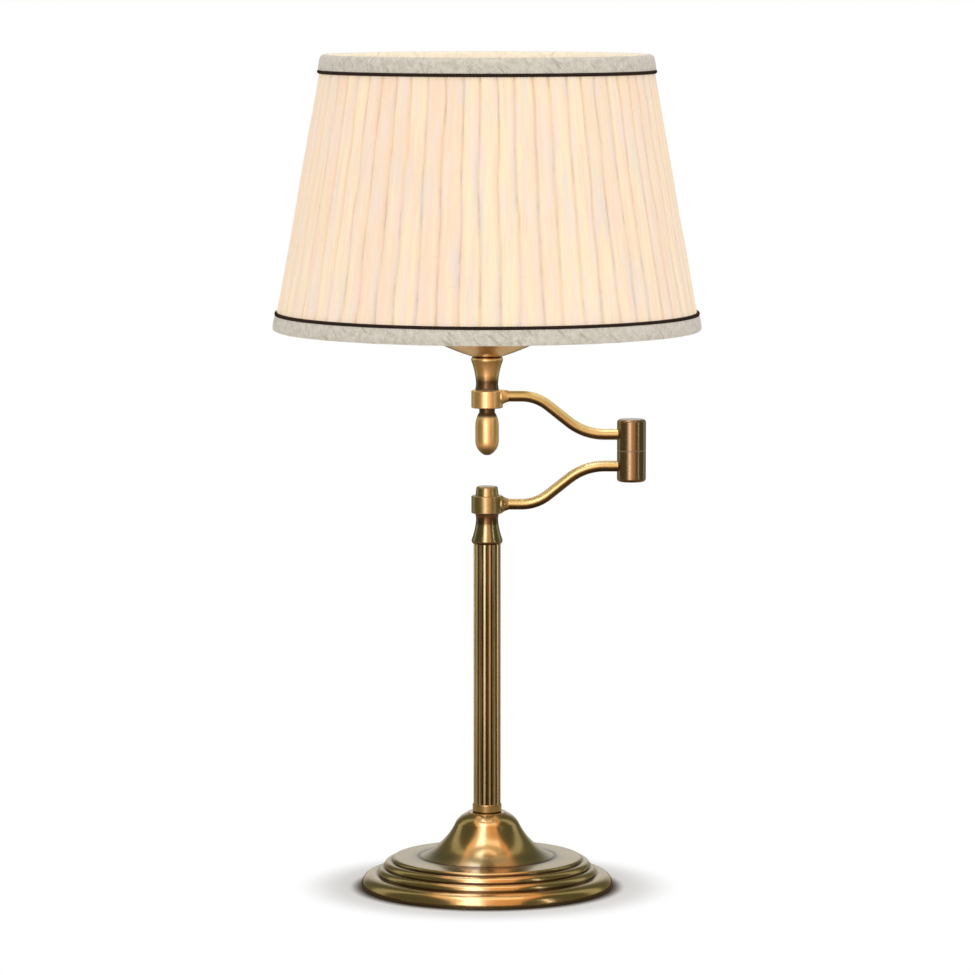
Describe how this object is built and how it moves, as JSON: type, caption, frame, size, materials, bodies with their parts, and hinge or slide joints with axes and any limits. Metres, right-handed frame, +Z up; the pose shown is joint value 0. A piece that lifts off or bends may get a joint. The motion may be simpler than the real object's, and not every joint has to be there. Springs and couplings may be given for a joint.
{
  "type": "swing arm table lamp",
  "caption": "Table lamp with a stepped, weighted base, a fluted column, folding swing arms with an elbow, and a pleated shade on a turning lampholder.",
  "frame": {"origin": "middle of the underside of the felt pad, on the table", "axes": "+Z points up and the column stands on it; at rest both arms lie folded along +X, so the shade stands over the column; -Y is the front, where the switch's knob points, and the cord's inlet is at the back, +Y"},
  "size_m": [0.3, 0.3, 0.5852],
  "materials": {
    "antique_brass": "satin, antiqued dark in the grooves",
    "bare_brass": "plain",
    "plated_steel": "zinc plated",
    "dark_steel": "black",
    "grey_iron": "as cast",
    "green_felt": "felt",
    "black_plastic": "moulded, slightly glossy",
    "nylon": "pale, smooth",
    "lead_jacket": "smooth",
    "fibre_board": "pressed",
    "glazed_porcelain": "glazed",
    "white_wire": "white",
    "shade_lining": "translucent, matt",
    "pleated_cloth": "pleated, translucent, with slubs",
    "linen_band": "coarse linen weave",
    "dark_piping": "twisted cord",
    "black_glass": "glossy",
    "bulb_metal": "plain",
    "bulb_glass": "frosted"
  },
  "bodies": {
    "base": {"felt_pad": "green_felt", "bottom_plate": "dark_steel", "plate_screws": "plated_steel", "base_weight": "grey_iron", "base_shell": "antique_brass", "cord_inlet_bush": "black_plastic", "rod_washer": "plated_steel", "rod_nut": "plated_steel", "tie_rod": "plated_steel", "foot_collar": "antique_brass", "fluted_column": "antique_brass", "column_cap": "antique_brass", "lower_pivot_washers": "nylon", "lower_pivot_screw": "plated_steel", "base_lead": "lead_jacket"},
    "lower_arm": {"lower_hub": "antique_brass", "lower_hub_cap": "antique_brass", "lower_arm_tube": "antique_brass", "lower_elbow_barrel": "antique_brass", "elbow_bottom_cap": "antique_brass", "elbow_seam_washer": "nylon", "elbow_pivot_pin": "plated_steel", "elbow_spring_washer": "plated_steel", "elbow_nut": "plated_steel", "lower_arm_lead": "lead_jacket"},
    "upper_arm": {"upper_elbow_barrel": "antique_brass", "elbow_top_cap": "antique_brass", "upper_arm_tube": "antique_brass", "upper_hub": "antique_brass", "upper_arm_lead": "lead_jacket"},
    "holder": {"upper_pivot_washers": "nylon", "finial": "antique_brass", "stem_pipe": "plated_steel", "neck": "antique_brass", "holder_dish": "antique_brass", "stem_lock_nut": "plated_steel", "socket_cup": "antique_brass", "socket_sleeve": "antique_brass", "socket_liner": "fibre_board", "socket_core": "glazed_porcelain", "screw_shell": "bare_brass", "centre_contact": "bare_brass", "shade_rings": "black_plastic", "shade_fitter": "white_wire", "top_frame_ring": "white_wire", "shade_liner": "shade_lining", "pleated_cover": "pleated_cloth", "bottom_band": "linen_band", "top_band": "linen_band", "bottom_piping": "dark_piping", "top_piping": "dark_piping", "bulb_contact": "plated_steel", "bulb_insulator": "black_glass", "bulb_cap": "bulb_metal", "bulb_glass": "bulb_glass", "stem_lead": "lead_jacket"},
    "switch": {"switch_knob": "black_plastic", "switch_shaft": "plated_steel"}
  },
  "joints": [
    {"name": "lower_arm_swing", "type": "hinge", "parent": "base", "child": "lower_arm", "pos_m": [0, 0, 0.2713], "axis": [0, 0, 1], "range_deg": [-170, 170]},
    {"name": "elbow_swing", "type": "hinge", "parent": "lower_arm", "child": "upper_arm", "pos_m": [0.101, 0, 0.30925], "axis": [0, 0, 1], "range_deg": [-180, 180]},
    {"name": "holder_swivel", "type": "hinge", "parent": "upper_arm", "child": "holder", "pos_m": [0, 0, 0.3453], "axis": [0, 0, 1], "range_deg": [-170, 170]},
    {"name": "switch_turn", "type": "hinge", "parent": "holder", "child": "switch", "pos_m": [0, -0.03, 0.3986], "axis": [0, -1, 0], "continuous": true}
  ]
}
